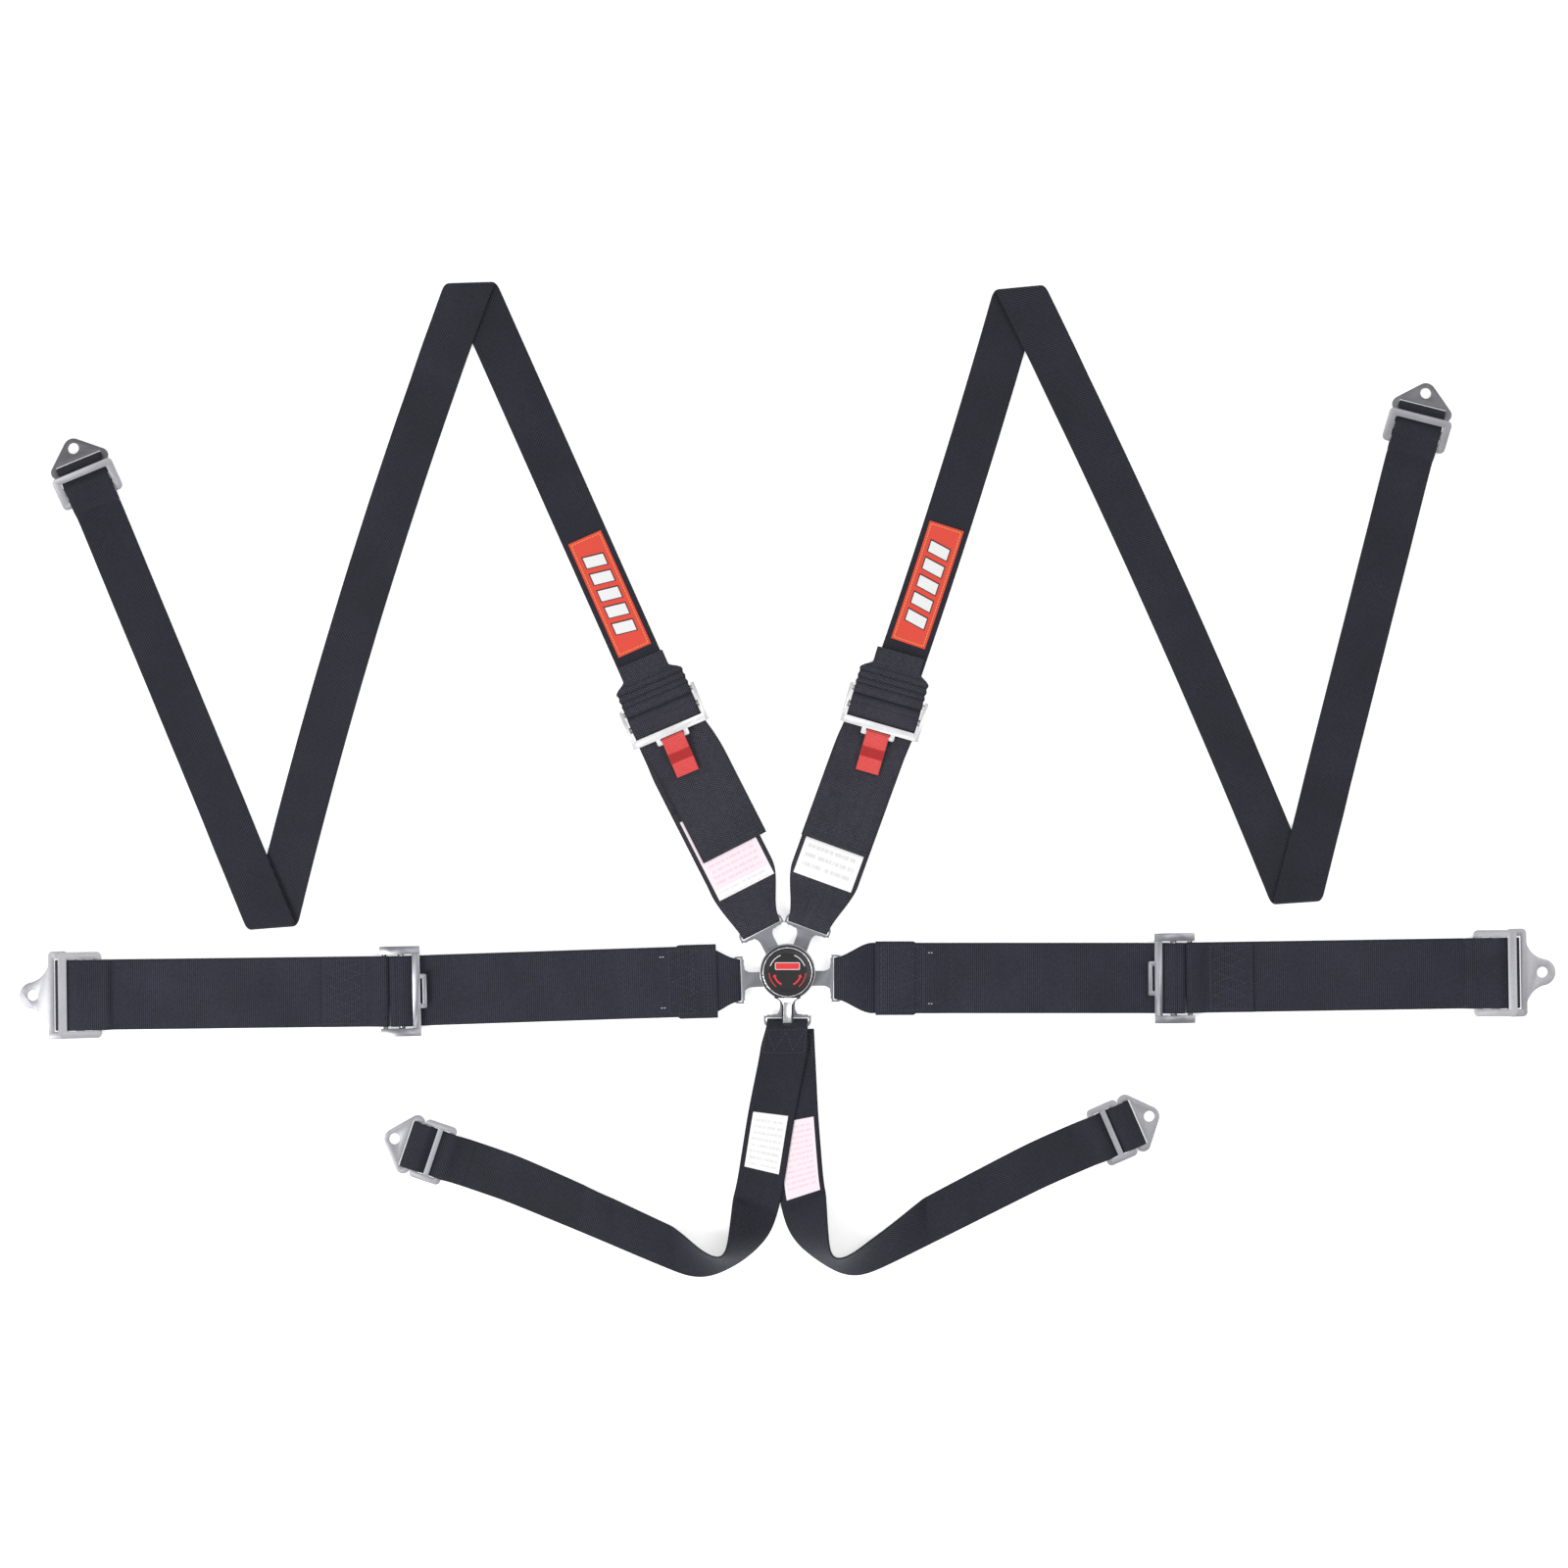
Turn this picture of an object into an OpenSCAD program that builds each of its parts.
// Six-point racing harness laid out flat: cam lock, two lap belts, two shoulder straps and a
// two-leg crotch strap. Millimetres, +Z up. The origin is on the back of the cam lock, on the
// axis of its turn lever. Every belt is drawn in a local frame whose +X runs outward along it.

/* [Webbing] */
// Width of the lap and chest webbing
wide_w = 76.2; // [74:0.1:78]
// Width of the shoulder and crotch webbing
narrow_w = 50.8; // [49:0.1:52]
// Thickness of all webbing
web_t = 2; // [1.8:0.1:2.1]

/* [Cam lock] */
// Radius of the lock's housing
housing_r = 30; // [29:0.5:32]
// Radius of the turn lever's disc
lever_r = 29; // [28:0.5:30]
// Reach of the lever's handle from the axis
handle_reach = 58; // [50:1:62]
// Width of the lever's handle
handle_w = 12.5; // [11:0.5:14]

/* [Tongues] */
// Width of a tongue's stem
stem_w = 16; // [15:0.5:17]
// Width of a tongue's fan, where the webbing loops on
fan_w = 50.9; // [50:0.1:54]

/* [Lap belts] */
// Angle of the left belt's inner stretch
lap_l_turn = 181.9; // [181:0.1:183]
// Angle of the left belt's outer stretch
lap_l_turn_out = 180.7; // [180:0.1:182]
// Angle of the right belt's outer stretch
lap_r_turn_out = 0.9; // [0:0.1:2]
// Distance from the lock to a lap adjuster
lap_reach = 417; // [380:1:440]
// Distance from a lap adjuster to the base bar of its bracket
lap_anchor = 363; // [330:1:390]

/* [Shoulder straps] */
// Left adjuster, across and up from the lock
adj_l_at = [-133, 275]; // [-200:1:400]
// Right adjuster, across and up from the lock
adj_r_at = [104, 279]; // [50:1:400]
// Angle of each chest web, left then right
chest_turn = [117, 70]; // [60:1:120]
// Angle of each adjuster, left then right
adj_turn = [113, 74]; // [60:1:120]
// Angles of the three strands of the left strap
strand_turn_l = [114, 253, 112.5]; // [100:0.5:260]
// Angles of the three strands of the right strap
strand_turn_r = [72.4, 294.2, 75.8]; // [60:0.1:300]
// Lengths of the three strands of the left strap
strand_len_l = [510, 722, 534]; // [450:1:750]
// Lengths of the three strands of the right strap
strand_len_r = [479, 722, 541]; // [450:1:750]
// Sideways bow of each strand, left strap
bow_l = [0, -11, 0]; // [-15:1:15]
// Sideways bow of each strand, right strap
bow_r = [-4, 7, 0]; // [-15:1:15]

/* [Fittings] */
// Radius of the bolt hole in every bracket
bolt_r = 6; // [5.5:0.1:6.5]
// Thickness of brackets, slides and tongues
plate_t = 3; // [2.5:0.1:3]
// Distance from a lap bracket's base bar to its bolt hole
lap_bolt_x = 36; // [34:1:40]
// Distance from a narrow bracket's base bar to its bolt hole
narrow_bolt_x = 23.5; // [23:0.5:26]

/* [Hidden] */
$fn = 64;

webbing = [0.17, 0.17, 0.22];
steel = [0.8, 0.8, 0.83];
tongue_grey = [0.5, 0.5, 0.55];
coral = [0.93, 0.32, 0.3];
label_white = [0.96, 0.93, 0.94];
black = [0.08, 0.08, 0.09];

// Cam lock levels, bottom to top
base_t = 3;
slot_z = 7.8;
slot_h = 3.4;
plate_z = 8;
body_top = 20.3;
lever_z = 20.7;
lever_t = 4.6;
pin_x = 19;
pin_r = 3;
pin_head_r = 4.2;
pin_foot_z = 11.4;
pin_head_z = 15.4;
pin_head_t = 1.6;
screw_at = 25;
stem_nose_x = 12.5;

// Where each tongue's axis passes the lock, and its angle
lap_l_at = [0, -7.5];
lap_r_at = [0, -7.2];
lap_r_turn = 0;
tongue_l_at = [-4, 0];
tongue_r_at = [4.3, 0];
tongue_turn = [118, 70];
crotch_turn = -90;

// Tongue fan, along its own axis
fan_slot_in = 49.5;
fan_slot_out = 54;
fan_end = 60;
fan_mid_z = plate_z + plate_t / 2;
loop_r = 2.9;

// Heights of the stacked webbing layers, middle of each
z1 = web_t / 2;
z2 = z1 + web_t + 0.3;
z3 = z2 + web_t + 0.6;

// Adjuster, from its sliding bar
rear_bar_x = 18;
rear_bar_r = 2.6;
rear_loop_r = 4.4;
rear_bar_z = 5.6;
slide_bar_r = 3.5;
slide_bar_z = 7;
front_x = -20.6;
front_z = 9;
front_t = 2.5;
tab_bar_x = -25.3;
tab_bar_half = 2.2;
tab_slot_w = 27;
rail_in = 40.3;
lap_adj_w = 97;
shoulder_adj_w = 88;

// Bracket and slide, from the bracket's base bar
base_bar_z = 5.4;
base_bar_half = 2.7;
base_loop_r = 4.35;
slot_corner = 0.8;
lap_tilt = 4;
narrow_tilt = 6;

function unit(v) = v / norm(v);
function left_of(v) = [-v[1], v[0]];
function dir(a) = [cos(a), sin(a)];
function lerp(a, b, t) = a + (b - a) * t;
function arc(c, r, a0, a1, n) =
    [for (i = [0:n]) c + r * dir(a0 + (a1 - a0) * i / n)];

// Normal of a path at point i, lengthened so that the band keeps its thickness at a bend
function path_normal(p, i) =
    let (last = len(p) - 1,
         a = i == 0 ? unit(p[1] - p[0]) : unit(p[i] - p[i - 1]),
         b = i == last ? a : unit(p[i + 1] - p[i]),
         m = unit(left_of(a) + left_of(b)))
    m / (m * left_of(a));
function band(p, t) = concat(
    [for (i = [0:len(p) - 1]) p[i] + path_normal(p, i) * t / 2],
    [for (i = [len(p) - 1:-1:0]) p[i] - path_normal(p, i) * t / 2]);

// Places children in a belt's frame
module along(at, turn) translate([at[0], at[1], 0]) rotate([0, 0, turn]) children();

// Flat webbing whose side view is a path of [x, z] points
module web(path, w, thick = web_t)
    rotate([90, 0, 0]) linear_extrude(height = w, center = true) polygon(band(path, thick));

// Bar across the belt
module cross_bar(x, z, r, w) translate([x, 0, z]) rotate([90, 0, 0])
    cylinder(r = r, h = w, center = true);

// Rectangle with round corners, from corner a to corner b
module round_rect(a, b, r) {
    translate([a[0] + r, a[1]]) square([b[0] - a[0] - 2 * r, b[1] - a[1]]);
    translate([a[0], a[1] + r]) square([b[0] - a[0], b[1] - a[1] - 2 * r]);
    for (x = [a[0] + r, b[0] - r], y = [a[1] + r, b[1] - r]) translate([x, y]) circle(r);
}

// ---- Cam lock ----
module tongue_stems(grow) {
    for (place = [[lap_l_at, lap_l_turn], [lap_r_at, lap_r_turn], [tongue_l_at, tongue_turn[0]],
                  [tongue_r_at, tongue_turn[1]], [[0, 0], crotch_turn]])
        along(place[0], place[1]) translate([stem_nose_x - 1, -stem_w / 2 - grow, slot_z])
            cube([housing_r, stem_w + 2 * grow, slot_h]);
}

module at_pins() {
    for (place = [[lap_l_at, lap_l_turn], [tongue_l_at, tongue_turn[0]],
                  [tongue_r_at, tongue_turn[1]], [[0, 0], crotch_turn]])
        along(place[0], place[1]) translate([pin_x, 0, 0]) children();
}

module at_screws() for (a = [45:90:315]) rotate([0, 0, a]) translate([screw_at, 0, 0]) children();

module housing_base() color(steel) difference() {
    cylinder(r = housing_r, h = base_t);
    at_screws() translate([0, 0, -1]) cylinder(r = 1.7, h = base_t + 2);
    at_screws() translate([0, 0, -0.01]) cylinder(r = 3.2, h = 1.6);
}

module housing_body() color(steel) difference() {
    translate([0, 0, base_t]) cylinder(r = housing_r, h = body_top - base_t);
    tongue_stems(0.5);
    translate([0, 0, base_t - 1]) cylinder(r = 9, h = body_top);
    translate([0, 0, 11.8]) cylinder(r = 14.4, h = body_top);
    at_pins() translate([0, 0, base_t + 1]) cylinder(r = pin_r + 0.3, h = body_top);
    at_pins() translate([0, 0, 11.8]) cylinder(r = pin_head_r + 0.3, h = body_top);
    along(lap_r_at, lap_r_turn) translate([pin_x, 0, base_t + 1]) cylinder(r = 2.9, h = 11);
    at_screws() translate([0, 0, base_t - 1]) cylinder(r = 1.7, h = 4);
}

module lock_fasteners() color(steel) {
    at_screws() translate([0, 0, 0.1]) difference() {
        union() {
            cylinder(r = 3, h = 1.3);
            cylinder(r = 1.5, h = 5.5);
        }
        translate([-2, -0.4, -1]) cube([4, 0.8, 1.6]);
    }
    along(lap_r_at, lap_r_turn) translate([pin_x, 0, base_t + 1.1]) cylinder(r = 2.7, h = 10.6);
}

module pivot_post() color(steel) {
    translate([0, 0, base_t]) cylinder(r = 7, h = 2);
    translate([0, 0, base_t]) cylinder(r = 3.7, h = lever_z + lever_t - base_t - 1.8);
}

module spring_stack(r, wire, turns, pitch) for (i = [0:turns - 1])
    translate([0, 0, wire + i * pitch]) rotate_extrude() translate([r, 0]) circle(wire, $fn = 16);

module lock_springs() color(steel) {
    at_pins() translate([0, 0, pin_head_z + pin_head_t + 0.2]) spring_stack(3.1, 0.5, 3, 1.05);
    translate([0, 0, base_t + 2.3]) spring_stack(5.6, 0.7, 4, 1.45);
}

module latch_pin() color(steel) {
    translate([0, 0, pin_foot_z]) cylinder(r = pin_r, h = pin_head_z - pin_foot_z + 0.5);
    translate([0, 0, pin_head_z]) cylinder(r = pin_head_r, h = pin_head_t);
}

module cam_rotor() color(steel) difference() {
    union() {
        translate([0, 0, 12.3]) cylinder(r = 10.5, h = 4);
        translate([0, 0, 12.3]) cylinder(r = 6.5, h = lever_z - 12.3 + 1);
    }
    translate([0, 0, 10]) cylinder(r = 4, h = 20);
}

module lever_outline(grow) {
    circle(lever_r + grow);
    translate([-handle_w / 2 - grow, -handle_reach + handle_w / 2])
        square([handle_w + 2 * grow, handle_reach - handle_w / 2]);
    translate([0, -handle_reach + handle_w / 2]) circle(handle_w / 2 + grow);
    difference() {
        translate([-14, -34]) square([28, 14]);
        for (s = [-1, 1]) translate([s * (handle_w / 2 + 9), -37]) circle(9);
    }
}

module lever() color(black) difference() {
    translate([0, 0, lever_z]) linear_extrude(lever_t) lever_outline(0);
    translate([0, 0, lever_z - 1]) cylinder(r = 6.8, h = 2.3);
    translate([0, 0, lever_z - 1]) cylinder(r = 4, h = lever_t - 0.2);
    translate([0, 0, lever_z + lever_t - 1]) difference() {
        cylinder(r = 27.1, h = 2);
        translate([0, 0, -1]) cylinder(r = 25.5, h = 4);
    }
    translate([-4.5, -handle_reach + 3.5, lever_z + lever_t - 1.2]) cube([9, 22.5, 3]);
}

module lever_inlay() color(steel)
    translate([-4.3, -handle_reach + 3.7, lever_z + lever_t - 1.2]) cube([8.6, 22.1, 1.7]);

module lever_ring() color(steel) translate([0, 0, lever_z + lever_t - 1]) difference() {
    cylinder(r = 26.9, h = 1.4);
    translate([0, 0, -1]) cylinder(r = 25.7, h = 4);
}

module face_disc() color(coral) translate([0, 0, lever_z + lever_t]) difference() {
    cylinder(r = 20.5, h = 0.8);
    translate([0, 0, 0.5]) cylinder(r = 18.9, h = 1);
}

// ---- Tongue ----
module tongue(latched = true) color(tongue_grey) translate([0, 0, plate_z]) linear_extrude(plate_t)
    difference() {
        union() {
            translate([stem_nose_x, -stem_w / 2]) square([fan_slot_in - stem_nose_x, stem_w]);
            difference() {
                translate([37, -fan_w / 2]) square([16, fan_w]);
                for (s = [-1, 1]) translate([38, s * 19]) circle(r = 11);
            }
            round_rect([46, -fan_w / 2], [fan_end, fan_w / 2], 6.9);
        }
        round_rect([fan_slot_in, -23.6], [fan_slot_out, 23.6], 1.5);
        translate([pin_x, 0]) circle(r = latched ? pin_r + 0.3 : 2.9);
        for (s = [-1, 1]) translate([37, s * 18]) circle(r = 9.7);
    }

// ---- Buckle-side web: looped on the tongue, run to the adjuster, and the tail laid back on it
// tail_end and tail_rise are where the tail ends and how high it stands there; full_at is where
// the web has its full width.
module belt_web(reach, loop_end, tail_end, tail_rise, full_at, y_tongue, y_main, y_tail, gap)
color(webbing) {
    half = wide_w / 2 + 0.01;
    drawn_in = reach - 16;
    spread = reach - 34;
    taper = [[0, y_tongue - 22.5], [58, y_tongue - 22.5], [full_at, y_main - half],
             [spread, y_main - half], [drawn_in, -half], [reach, -half], [reach, half],
             [drawn_in, half], [spread, y_main + half], [full_at, y_main + half],
             [58, y_tongue + 22.5], [0, y_tongue + 22.5]];
    tail_taper = [[0, y_tail - half], [spread, y_tail - half], [drawn_in, -half], [reach, -half],
                  [reach, half], [drawn_in, half], [spread, y_tail + half], [0, y_tail + half]];
    main_path = concat(
        [[loop_end, z2], [98, z2], [80, 8.2], [64, fan_mid_z + loop_r]],
        arc([54.8, fan_mid_z], loop_r, 90, 270, 10),
        [[62, fan_mid_z - loop_r], [84, z1], [reach - gap - 4.5, z1]]);
    intersection() {
        translate([0, y_main, 0]) web(main_path, 2 * wide_w);
        linear_extrude(60) polygon(taper);
    }
    tail_path = concat(
        [[tail_end, z3 + tail_rise], [tail_end + 24, z3]],
        [[loop_end + 4, z3], [loop_end + 30, z2], [reach - 26 - gap, z2],
         [reach - 14 - gap, 5.8], [reach - 7.8 - gap, 9.7 - gap * 0.8]]);
    intersection() {
        translate([0, y_tail, 0]) web(tail_path, 2 * wide_w);
        linear_extrude(60) polygon(tail_taper);
    }
}

// ---- Adjuster ----
module belt_roll() color(webbing)
    web(arc([0, slide_bar_z], slide_bar_r + 0.3 + web_t / 2, -105, 112, 18), wide_w);

module adjuster_bar(w) color(steel) cross_bar(0, slide_bar_z, slide_bar_r, w - 3);

module adjuster_frame(w) color(steel) {
    cross_bar(rear_bar_x, rear_bar_z, rear_bar_r, w - 2);
    rail_t = w / 2 - rail_in;
    for (s = [-1, 1]) translate([0, s * (rail_in + rail_t / 2), 0]) difference() {
        rotate([90, 0, 0]) linear_extrude(height = rail_t, center = true)
            polygon([[-12, 5.5], [10, 2], [19, 2], [23, 4.5], [23, 8.5], [10, 11.5], [4, 13],
                     [-8, 13], [front_x, front_z + front_t], [front_x, front_z]]);
        translate([0, -s * 1.2, slide_bar_z]) rotate([90, 0, 0]) {
            cylinder(r = slide_bar_r + 0.3, h = rail_t, center = true);
            translate([-4, -slide_bar_r - 0.3, -rail_t / 2])
                cube([4, 2 * slide_bar_r + 0.6, rail_t]);
            translate([-4, 0, 0]) cylinder(r = slide_bar_r + 0.3, h = rail_t, center = true);
        }
    }
    translate([0, 0, front_z]) linear_extrude(front_t) difference() {
        union() {
            translate([front_x, -w / 2 + 0.5]) square([8.4, w - 1]);
            round_rect([tab_bar_x - tab_bar_half, -tab_slot_w / 2 - 5],
                       [front_x + 4, tab_slot_w / 2 + 5], 2);
        }
        round_rect([tab_bar_x + tab_bar_half, -tab_slot_w / 2], [front_x, tab_slot_w / 2], 1);
    }
}

module pull_tab() color(coral) {
    tab_t = 1.4;
    loop = 2.8 + tab_t / 2;
    z = front_z + front_t / 2;
    web(concat([[tab_bar_x - 41, 6.3], [tab_bar_x - 13, 7.9]],
               arc([tab_bar_x, z], loop, -115, 105, 14),
               [[tab_bar_x - 13, 9.5], [tab_bar_x - 41, 7.8]]), 25.4, tab_t);
}

// Web looped on the adjuster's rear bar, from the end of its upper layer round to its lower one
function anchor_loop(upper_end, upper_z) = concat(
    [[upper_end, upper_z], [rear_bar_x + 18, upper_z], [rear_bar_x + 8, 8.4]],
    arc([rear_bar_x, rear_bar_z], rear_loop_r, 80, 270, 12));

// Web over the slide's rear and middle bars, under its front bar and round the bracket's bar.
// The slide lies on a slope: low at its rear and high at the bracket.
function lap_end_path(x) = concat(
    [[x - 62, z1], [x - 50, z2 + 0.1], [x - 43.4, 4.9], [x - 39.8, 7.2], [x - 30, 9.4],
     [x - 19, 12.5], [x - 11.6, 14.5], [x - 1.4, base_bar_z + base_loop_r + 0.25]],
    arc([x, base_bar_z], base_loop_r, 90, -90, 12), [[x - 46, base_bar_z - base_loop_r]]);
function shoulder_end_path(x) = concat(
    [[x - 62, z1], [x - 48, z2 + 0.1], [x - 41, 5.2], [x - 37.3, 7.6], [x - 28.5, 9.9],
     [x - 21.5, 12.1], [x - 15.4, 13.9], [x - 8.6, 9.9], [x - 1, base_bar_z + base_loop_r]],
    arc([x, base_bar_z], base_loop_r, 90, -90, 12), [[x - 45, base_bar_z - base_loop_r]]);
// Here the slide lies level, and the web goes over its outer bars and under its middle bar.
function crotch_end_path(x) = concat(
    [[x - 64, z1], [x - 54, z1 + 1], [x - 46, 4.4], [x - 39, 9.3], [x - 30.6, 9.3],
     [x - 25, 3.5], [x - 16.8, 3.5], [x - 10.6, 9.4], [x - 1, base_bar_z + base_loop_r]],
    arc([x, base_bar_z], base_loop_r, 90, -90, 12), [[x - 14, base_bar_z - base_loop_r]]);

module lap_anchor_web() color(webbing)
    web(concat(anchor_loop(86, z2), [[rear_bar_x + 8, z1]], lap_end_path(lap_anchor)), wide_w);

// ---- Three-bar slide: bars from front to rear, on a slope about the middle of the rear bar
module slide_frame(length, width, front, bars, rear_z, slope) color(steel)
    translate([front - length, 0, rear_z]) rotate([0, -slope, 0])
        translate([0, 0, -plate_t / 2]) linear_extrude(plate_t) difference() {
            round_rect([0, -width / 2], [length, width / 2], 5);
            open = (length - bars[0] - bars[1] - bars[2]) / 2;
            for (x = [bars[0], bars[0] + open + bars[1]])
                round_rect([x, -width / 2 + bars[3]], [x + open, width / 2 - bars[3]], 2);
        }

// ---- Brackets ----
module lap_bracket_outline() {
    eye_r = 14.3;
    half = 47.5;
    round_rect([-base_bar_half, -half], [19, half], 5);
    translate([lap_bolt_x, 0]) circle(eye_r);
    difference() {
        polygon([[10, -half + 5], [19, -half + 5], [lap_bolt_x + 2, -eye_r + 0.2],
                 [lap_bolt_x + 2, eye_r - 0.2], [19, half - 5], [10, half - 5]]);
        for (s = [-1, 1]) translate([lap_bolt_x + 7.5, s * 39]) circle(25.5);
    }
}

// Outer tangent points of two circles, on the side away from the belt
function tangent(c0, r0, c1, r1) =
    let (d = c1 - c0, a = atan2(d[1], d[0]) - acos((r0 - r1) / norm(d)))
    [c0 + r0 * dir(a), c1 + r1 * dir(a)];

module narrow_bracket_outline() {
    eye = [narrow_bolt_x, 0];
    eye_r = 11;
    corner = [5.3, 24.8];
    corner_r = 8;
    touch = tangent(eye, eye_r, corner, corner_r);
    translate(eye) circle(eye_r);
    for (s = [-1, 1]) translate([corner[0], s * corner[1]]) circle(corner_r);
    translate([-base_bar_half, -corner[1]]) square([8, 2 * corner[1]]);
    polygon([eye, touch[0], touch[1], corner, [corner[0], -corner[1]],
             [touch[1][0], -touch[1][1]], [touch[0][0], -touch[0][1]]]);
}

module bracket(bolt_x, slot_half, slot_out, tilt, wide) color(steel)
    translate([0, 0, base_bar_z]) rotate([0, tilt, 0]) translate([0, 0, -plate_t / 2])
        difference() {
            linear_extrude(plate_t) difference() {
                if (wide) lap_bracket_outline();
                else narrow_bracket_outline();
                round_rect([base_bar_half, -slot_half], [slot_out, slot_half], slot_corner);
            }
            translate([bolt_x, 0, -1]) cylinder(r = bolt_r, h = plate_t + 2);
        }

// ---- Swept strap: stations are [centre, across, up] ----
module swept(stations, w, t = web_t) {
    n = len(stations);
    points = [for (s = stations, c = [[-1, -1], [1, -1], [1, 1], [-1, 1]])
              s[0] + s[1] * c[0] * w / 2 + s[2] * c[1] * t / 2];
    sides = [for (i = [0:n - 2], k = [0:3])
             [4 * i + k, 4 * i + (k + 1) % 4, 4 * i + 4 + (k + 1) % 4, 4 * i + 4 + k]];
    ends = [[3, 2, 1, 0], [4 * n - 4, 4 * n - 3, 4 * n - 2, 4 * n - 1]];
    tris = [for (f = concat(sides, ends), t = [[0, 2, 1], [0, 3, 2]]) [for (k = t) f[k]]];
    polyhedron(points, tris);
}

function flat3(v, z = 0) = [v[0], v[1], z];

// Height along a strand from [share of length, z] pairs
function height_at(h, t, i = 0) =
    i >= len(h) - 2 || t <= h[i + 1][0]
        ? lerp(h[i][1], h[i + 1][1], ease((t - h[i][0]) / (h[i + 1][0] - h[i][0])))
        : height_at(h, t, i + 1);
function ease(t) = t * t * (3 - 2 * t);

// A straight or slightly bowed strand. Its sections turn to lie along the folds at its ends:
// skews are how far they lean there. face is +1 or -1.
skew_run = 75;
function skew_at(skews, t, length) =
    skews[0] * ease(max(0, 1 - t * length / skew_run))
    + skews[1] * ease(max(0, 1 - (1 - t) * length / skew_run));
function strand(p, turn, length, bow, heights, face, n, skews = [0, 0]) =
    [for (i = [0:n]) let (t = i / n, lean = turn + atan(4 * bow * (1 - 2 * t) / length))
        [flat3(p + dir(turn) * length * t + left_of(dir(turn)) * bow * 4 * t * (1 - t),
               height_at(heights, t)),
         flat3(left_of(dir(lean)) + dir(lean) * skew_at(skews, t, length)) * face,
         [0, 0, face]]];
function end_turn(turn, length, bow, t) = turn + atan(4 * bow * (1 - 2 * t) / length);

// A fold over the top: from angle a to angle b, starting at p, with bend radius r
function fold_normal(a, b) = unit(dir(a) - dir(b));
function fold_shift(a, b, r) =
    let (n = fold_normal(a, b), f = left_of(n), d = dir(a))
    f * PI * r * (d * f) / (d * n);
function fold_skew(a, b) =
    let (f = left_of(fold_normal(a, b))) (f * dir(a)) / (f * left_of(dir(a)));
function fold(p, z, a, b, r, face, n) =
    let (m = fold_normal(a, b), f = left_of(m), across = flat3(f) * face / (f * left_of(dir(a))))
    [for (i = [1:n - 1]) let (q = 180 * i / n)
        [flat3(p + f * (r * q * PI / 180) * (dir(a) * f) / (dir(a) * m) + m * r * sin(q),
               z + r * (1 - cos(q))),
         across, flat3(-m * sin(q), cos(q)) * face]];

// Shoulder strap in three strands with two folds, and its run over the slide to the bracket
fold_r = 3;
function strap_points(at, turns, lens, bows) =
    let (a_out = end_turn(turns[0], lens[0], bows[0], 1),
         b_in = end_turn(turns[1], lens[1], bows[1], 0),
         b_out = end_turn(turns[1], lens[1], bows[1], 1),
         c_in = end_turn(turns[2], lens[2], bows[2], 0),
         f1 = at + dir(turns[0]) * lens[0],
         b0 = f1 + fold_shift(a_out, b_in, fold_r),
         f2 = b0 + dir(turns[1]) * lens[1],
         c0 = f2 + fold_shift(b_out, c_in, fold_r),
         c1 = c0 + dir(turns[2]) * lens[2])
    [f1, b0, f2, c0, c1, a_out, b_in, b_out, c_in];
ends_l = strap_points(adj_l_at, strand_turn_l, strand_len_l, bow_l);
ends_r = strap_points(adj_r_at, strand_turn_r, strand_len_r, bow_r);
strap_start = 46;

function strap_stations(at, turns, lens, bows, k) =
    let (skew_1 = fold_skew(k[5], k[6]), skew_2 = fold_skew(k[7], k[8])) concat(
    [for (s = strand(at, turns[0], lens[0], bows[0],
                     [[0, z2], [65 / lens[0], z2], [75 / lens[0], z1], [1, z1]], 1, 110,
                     [0, skew_1]))
        if ((s[0] - flat3(at)) * flat3(dir(turns[0])) > strap_start) s],
    fold(k[0], z1, k[5], k[6], fold_r, 1, 10),
    strand(k[1], turns[1], lens[1], bows[1],
           [[0, z1 + 2 * fold_r], [0.1, z2 + 1.4], [0.17, z1], [1, z1]], -1, 60,
           [-skew_1, skew_2]),
    fold(k[2], z1, k[7], k[8], fold_r, -1, 10),
    strand(k[3], turns[2], lens[2] - 68, bows[2],
           [[0, z1 + 2 * fold_r], [0.17, z2 + 1.4], [0.26, z1], [1, z1]], 1, 48,
           [-skew_2, 0]));

// Stations of a side-view path of [x, z] points
function path_stations(path, at, turn) =
    [for (i = [0:len(path) - 1]) let (m = path_normal(path, i))
        [flat3(at + dir(turn) * path[i][0], path[i][1]), flat3(left_of(dir(turn))),
         flat3(dir(turn) * m[0], m[1])]];

module strap(at, turns, lens, bows, k) color(webbing)
    swept(concat(strap_stations(at, turns, lens, bows, k),
                 path_stations(shoulder_end_path(0), k[4],
                               end_turn(turns[2], lens[2], bows[2], 1))), narrow_w);

module joiner_web() color(webbing) intersection() {
    web(concat([[68, z3 - 0.3], [rear_bar_x + 20, z3 - 0.3], [rear_bar_x + 8, 8.8]],
               arc([rear_bar_x, rear_bar_z], rear_loop_r, 80, 270, 12),
               [[rear_bar_x + 8, z1], [64, z1]]), wide_w);
    linear_extrude(60) polygon([[0, -40], [39, -40], [39, -wide_w / 2], [50, -narrow_w / 2],
        [80, -narrow_w / 2], [80, narrow_w / 2], [50, narrow_w / 2], [39, wide_w / 2],
        [39, 40], [0, 40]]);
}

// Sewn patch on the strap, and the label on the chest web
patch_mid = 145;
patch_len = 134;
module patch(at, turn, length, bow) {
    t = patch_mid / length;
    along(at + dir(turn) * patch_mid + left_of(dir(turn)) * bow * 4 * t * (1 - t),
          end_turn(turn, length, bow, t))
        translate([-patch_len / 2, -19.3, z1 + web_t / 2 + 0.05]) cube([patch_len, 38.6, 0.75]);
}

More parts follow.
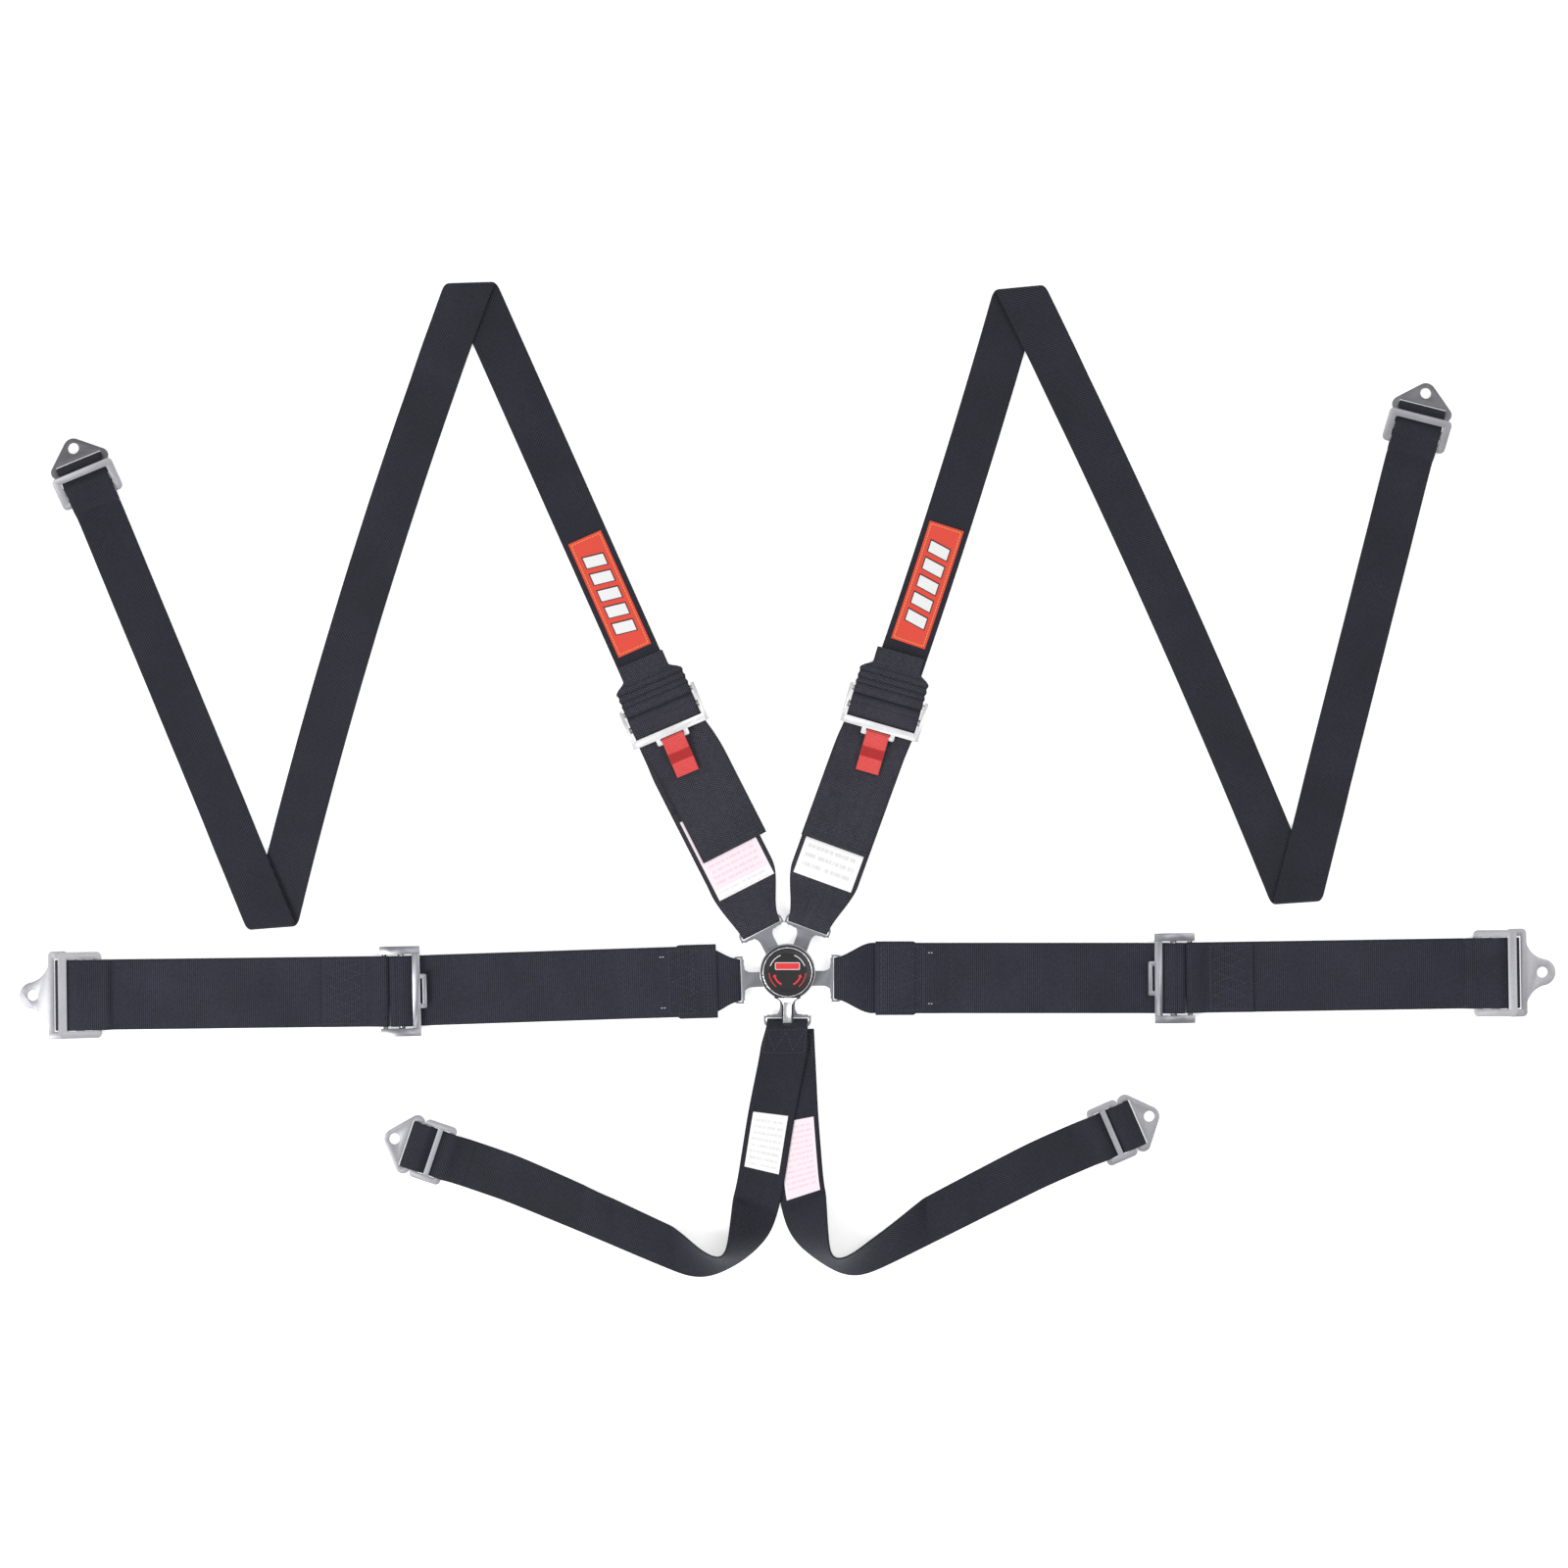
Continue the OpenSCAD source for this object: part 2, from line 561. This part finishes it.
module web_label(frame_at, turn, side) along(frame_at, turn)
    translate([102, side - 33, z2 + web_t / 2]) cube([92, 66, 0.3]);

// ---- Crotch strap ----
// Each leg is drawn between its two edges. Where the edges come close in plan the webbing
// stands up on its outer edge, so the inner edge rises to keep the width.
function lengths(p, i = 0, s = 0) =
    i == len(p) - 1 ? [s] : concat([s], lengths(p, i + 1, s + norm(p[i + 1] - p[i])));
function at_length(p, l, s, i = 0) =
    i >= len(p) - 2 || s <= l[i + 1]
        ? lerp(p[i], p[i + 1], (s - l[i]) / (l[i + 1] - l[i])) : at_length(p, l, s, i + 1);
function resample(p, n) = let (l = lengths(p)) [for (i = [0:n]) at_length(p, l, l[len(l) - 1] * i / n)];
function smooth(p, times) = times == 0 ? p :
    smooth([for (i = [0:len(p) - 1])
            i == 0 || i == len(p) - 1 ? p[i] : (p[i - 1] + 2 * p[i] + p[i + 1]) / 4], times - 1);
edge_slack = 1.04;
function leg_stations(outer, inner, n) =
    let (o = smooth(resample(outer, n), 2), i = smooth(resample(inner, n), 2))
    [for (k = [0:n]) let (
        gap = edge_slack * norm([o[k][0] - i[k][0], o[k][1] - i[k][1]]),
        rise = sqrt(max(0, narrow_w * narrow_w - gap * gap)),
        top = [i[k][0], i[k][1], i[k][2] + rise],
        across = unit(top - o[k]),
        mid = o[k] + across * narrow_w / 2,
        j = min(k, n - 1),
        on = unit((o[j + 1] + i[j + 1]) - (o[j] + i[j])),
        up = unit(cross(on, across)))
     [mid, across, up]];

leg_l_outer = [[24, -60, 12.6], [22, -84, 5.6], [8, -157, 3.4], [-6, -245, 3.6], [-17, -284, 1.6],
               [-36, -304, 1], [-56, -318, 1], [-84, -332, 1], [-104, -332, 1], [-155, -311, 1],
               [-216, -285, 1]];
leg_l_inner = [[-27, -62, 12.6], [-29, -86, 5.6], [-42.5, -152, 3.4], [-55, -232, 3.6],
               [-63, -285, 1.6], [-67, -310, 1], [-84, -304, 1], [-98, -295, 1], [-116, -281, 1],
               [-135, -272, 1], [-216, -235, 1]];
leg_r_outer = [[-22, -64, 4.2], [-21, -84, 1], [-16.5, -166, 1], [-9, -248, 1], [-1, -279, 1],
               [9, -295, 1], [24, -306, 1], [44, -320, 1], [62, -330, 1], [78, -331, 1],
               [102, -321, 1], [165, -290, 1]];
leg_r_inner = [[29, -62, 4.2], [30, -84, 1], [34, -169, 1], [42, -268, 1], [46, -310, 1],
               [56, -308.5, 1], [68, -303, 1], [84, -292, 1], [102, -280, 1], [145, -248, 1]];
crotch_l_end = [-402.5, -188.5];
crotch_l_turn = 161.3;
crotch_r_end = [369.5, -166];
crotch_r_turn = 23.5;
leg_steps = 60;

// The last stretch of a leg's edge, in line with its bracket
function edge_end(end, turn, side) = [for (x = [110, 61])
    flat3(end - dir(turn) * x + left_of(dir(turn)) * side * narrow_w / 2, z1)];

function leg_l() = leg_stations(
    concat(leg_l_outer, edge_end(crotch_l_end, crotch_l_turn, 1)),
    concat(leg_l_inner, edge_end(crotch_l_end, crotch_l_turn, -1)), leg_steps);
function leg_r() = leg_stations(
    concat(leg_r_outer, edge_end(crotch_r_end, crotch_r_turn, -1)),
    concat(leg_r_inner, edge_end(crotch_r_end, crotch_r_turn, 1)), leg_steps);

module crotch_leg_l() color(webbing) {
    swept(leg_l(), narrow_w);
    along(crotch_l_end, crotch_l_turn) web(crotch_end_path(0), narrow_w);
    along([0, 0], crotch_turn)
        web(concat([[66, fan_mid_z + loop_r]], arc([54.8, fan_mid_z], loop_r, 90, 270, 10),
                   [[68, fan_mid_z - loop_r - 0.2]]), 44);
}
module crotch_leg_r() color(webbing) {
    swept(leg_r(), narrow_w);
    along(crotch_r_end, crotch_r_turn) web(crotch_end_path(0), narrow_w);
}

// A label lying on stretch a to b of a leg; face is which way the leg's stations look
label_t = 0.3;
module leg_label(stations, a, b, face) swept(
    [for (k = [a:b]) [stations[k][0] + stations[k][2] * face * (web_t / 2 + label_t / 2 + 0.05),
                      stations[k][1], stations[k][2]]], 38, label_t);
module crotch_labels() color(label_white) {
    leg_label(leg_l(), 11, 17, -1);
    leg_label(leg_r(), 10, 19, 1);
}

module lap_slide() slide_frame(46.5, 93, 8, [8, 8, 9, 7.5], 4.2, 15.1);
module shoulder_slide() slide_frame(36.5, 69, 0.5, [7.5, 7, 7.5, 8], 3.8, 18.3);
module crotch_slide() slide_frame(35, 65, -3.2, [6.4, 6, 7, 6], 6.3, 0);
module lap_bracket() bracket(lap_bolt_x, 39.75, 13, lap_tilt, true);
module narrow_bracket() bracket(narrow_bolt_x, 25.6, 11, narrow_tilt, false);
lap_full_at = 92;
module lap_l_belt_web() belt_web(lap_reach, 150, 76, 10.6 - z3, lap_full_at, 0, 0, 0, 0);
module lap_r_belt_web() belt_web(lap_reach, 150, 95, 8 - z3, lap_full_at, 0, 0, 0, 0);
module lap_adjuster_frame() adjuster_frame(lap_adj_w);
module lap_adjuster_bar() adjuster_bar(lap_adj_w);

lap_l_adj = lap_l_at + dir(lap_l_turn) * lap_reach;
lap_r_adj = lap_r_at + dir(lap_r_turn) * lap_reach;

module on_lap_l() along(lap_l_at, lap_l_turn) children();
// An adjuster stands at half the angle between its belt's two parts
module on_lap_l_adj() along(lap_l_adj, (lap_l_turn + lap_l_turn_out) / 2) children();
module on_lap_l_out() along(lap_l_adj, lap_l_turn_out) children();
module on_lap_r() along(lap_r_at, lap_r_turn) children();
module on_lap_r_adj() along(lap_r_adj, (lap_r_turn + lap_r_turn_out) / 2) children();
module on_lap_r_out() along(lap_r_adj, lap_r_turn_out) children();

// ---- Shoulder assemblies in place ----
chest_reach = [303.5, 296.4];
chest_l_at = adj_l_at - dir(chest_turn[0]) * chest_reach[0];
chest_r_at = adj_r_at - dir(chest_turn[1]) * chest_reach[1];
loop_end = 205;
tail_end = 143;
skew_gap = 2.8;
chest_full_at = 112;
turn_l_end = end_turn(strand_turn_l[2], strand_len_l[2], bow_l[2], 1);
turn_r_end = end_turn(strand_turn_r[2], strand_len_r[2], bow_r[2], 1);

module on_tongue_l() along(tongue_l_at, tongue_turn[0]) children();
module on_tongue_r() along(tongue_r_at, tongue_turn[1]) children();
module pin_in_place() translate([pin_x, 0, 0]) latch_pin();
module on_adj_l() along(adj_l_at, adj_turn[0]) children();
module on_adj_r() along(adj_r_at, adj_turn[1]) children();
module on_end_l() along(ends_l[4], turn_l_end) children();
module on_end_r() along(ends_r[4], turn_r_end) children();
module on_crotch_l() along(crotch_l_end, crotch_l_turn) children();
module on_crotch_r() along(crotch_r_end, crotch_r_turn) children();

module chest_web_l() along(chest_l_at, chest_turn[0])
    belt_web(chest_reach[0], loop_end, tail_end, 0, chest_full_at, 10.8, 4, -4, skew_gap);
module chest_web_r() along(chest_r_at, chest_turn[1])
    belt_web(chest_reach[1], loop_end, tail_end, 0, chest_full_at, -1.7, 0, 1, skew_gap);
module labels_l() {
    color(coral) patch(adj_l_at, strand_turn_l[0], strand_len_l[0], bow_l[0]);
    color(label_white) web_label(chest_l_at, chest_turn[0], 4);
}
module labels_r() {
    color(coral) patch(adj_r_at, strand_turn_r[0], strand_len_r[0], bow_r[0]);
    color(label_white) web_label(chest_r_at, chest_turn[1], 0);
}
module strap_l() strap(adj_l_at, strand_turn_l, strand_len_l, bow_l, ends_l);
module strap_r() strap(adj_r_at, strand_turn_r, strand_len_r, bow_r, ends_r);
module shoulder_frame() adjuster_frame(shoulder_adj_w);
module shoulder_bar() adjuster_bar(shoulder_adj_w);

housing_base();
housing_body();
lock_fasteners();
pivot_post();
lock_springs();
cam_rotor();
lever();
lever_inlay();
lever_ring();
face_disc();
on_lap_l() pin_in_place();  // latch_pin_lap_l
on_tongue_l() pin_in_place();  // latch_pin_shoulder_l
on_tongue_r() pin_in_place();  // latch_pin_shoulder_r
along([0, 0], crotch_turn) pin_in_place();  // latch_pin_crotch
on_lap_l() tongue();  // lap_l_tongue
on_lap_l() lap_l_belt_web();
on_lap_l_adj() belt_roll();  // lap_l_belt_roll
on_lap_l_adj() lap_adjuster_frame();  // lap_l_adjuster_frame
on_lap_l_adj() lap_adjuster_bar();  // lap_l_adjuster_bar
on_lap_l_out() lap_anchor_web();  // lap_l_anchor_web
on_lap_l_out() translate([lap_anchor, 0, 0]) lap_slide();  // lap_l_slide
on_lap_l_out() translate([lap_anchor, 0, 0]) lap_bracket();  // lap_l_bracket
on_lap_r() tongue(false);  // lap_r_tongue
on_lap_r() lap_r_belt_web();
on_lap_r_adj() belt_roll();  // lap_r_belt_roll
on_lap_r_adj() lap_adjuster_frame();  // lap_r_adjuster_frame
on_lap_r_adj() lap_adjuster_bar();  // lap_r_adjuster_bar
on_lap_r_out() lap_anchor_web();  // lap_r_anchor_web
on_lap_r_out() translate([lap_anchor, 0, 0]) lap_slide();  // lap_r_slide
on_lap_r_out() translate([lap_anchor, 0, 0]) lap_bracket();  // lap_r_bracket
along(tongue_l_at, tongue_turn[0]) tongue();  // shoulder_l_tongue
chest_web_l();  // shoulder_l_chest_web
on_adj_l() belt_roll();  // shoulder_l_chest_roll
on_adj_l() shoulder_frame();  // shoulder_l_adjuster_frame
on_adj_l() shoulder_bar();  // shoulder_l_adjuster_bar
on_adj_l() pull_tab();  // shoulder_l_pull_tab
on_adj_l() joiner_web();  // shoulder_l_joiner_web
strap_l();  // shoulder_l_strap
labels_l();  // shoulder_l_labels
on_end_l() shoulder_slide();  // shoulder_l_slide
on_end_l() narrow_bracket();  // shoulder_l_bracket
along(tongue_r_at, tongue_turn[1]) tongue();  // shoulder_r_tongue
chest_web_r();  // shoulder_r_chest_web
on_adj_r() belt_roll();  // shoulder_r_chest_roll
on_adj_r() shoulder_frame();  // shoulder_r_adjuster_frame
on_adj_r() shoulder_bar();  // shoulder_r_adjuster_bar
on_adj_r() pull_tab();  // shoulder_r_pull_tab
on_adj_r() joiner_web();  // shoulder_r_joiner_web
strap_r();  // shoulder_r_strap
labels_r();  // shoulder_r_labels
on_end_r() shoulder_slide();  // shoulder_r_slide
on_end_r() narrow_bracket();  // shoulder_r_bracket
along([0, 0], crotch_turn) tongue();  // crotch_tongue
crotch_leg_l();
crotch_leg_r();
crotch_labels();
on_crotch_l() crotch_slide();  // crotch_l_slide
on_crotch_l() narrow_bracket();  // crotch_l_bracket
on_crotch_r() crotch_slide();  // crotch_r_slide
on_crotch_r() narrow_bracket();  // crotch_r_bracket
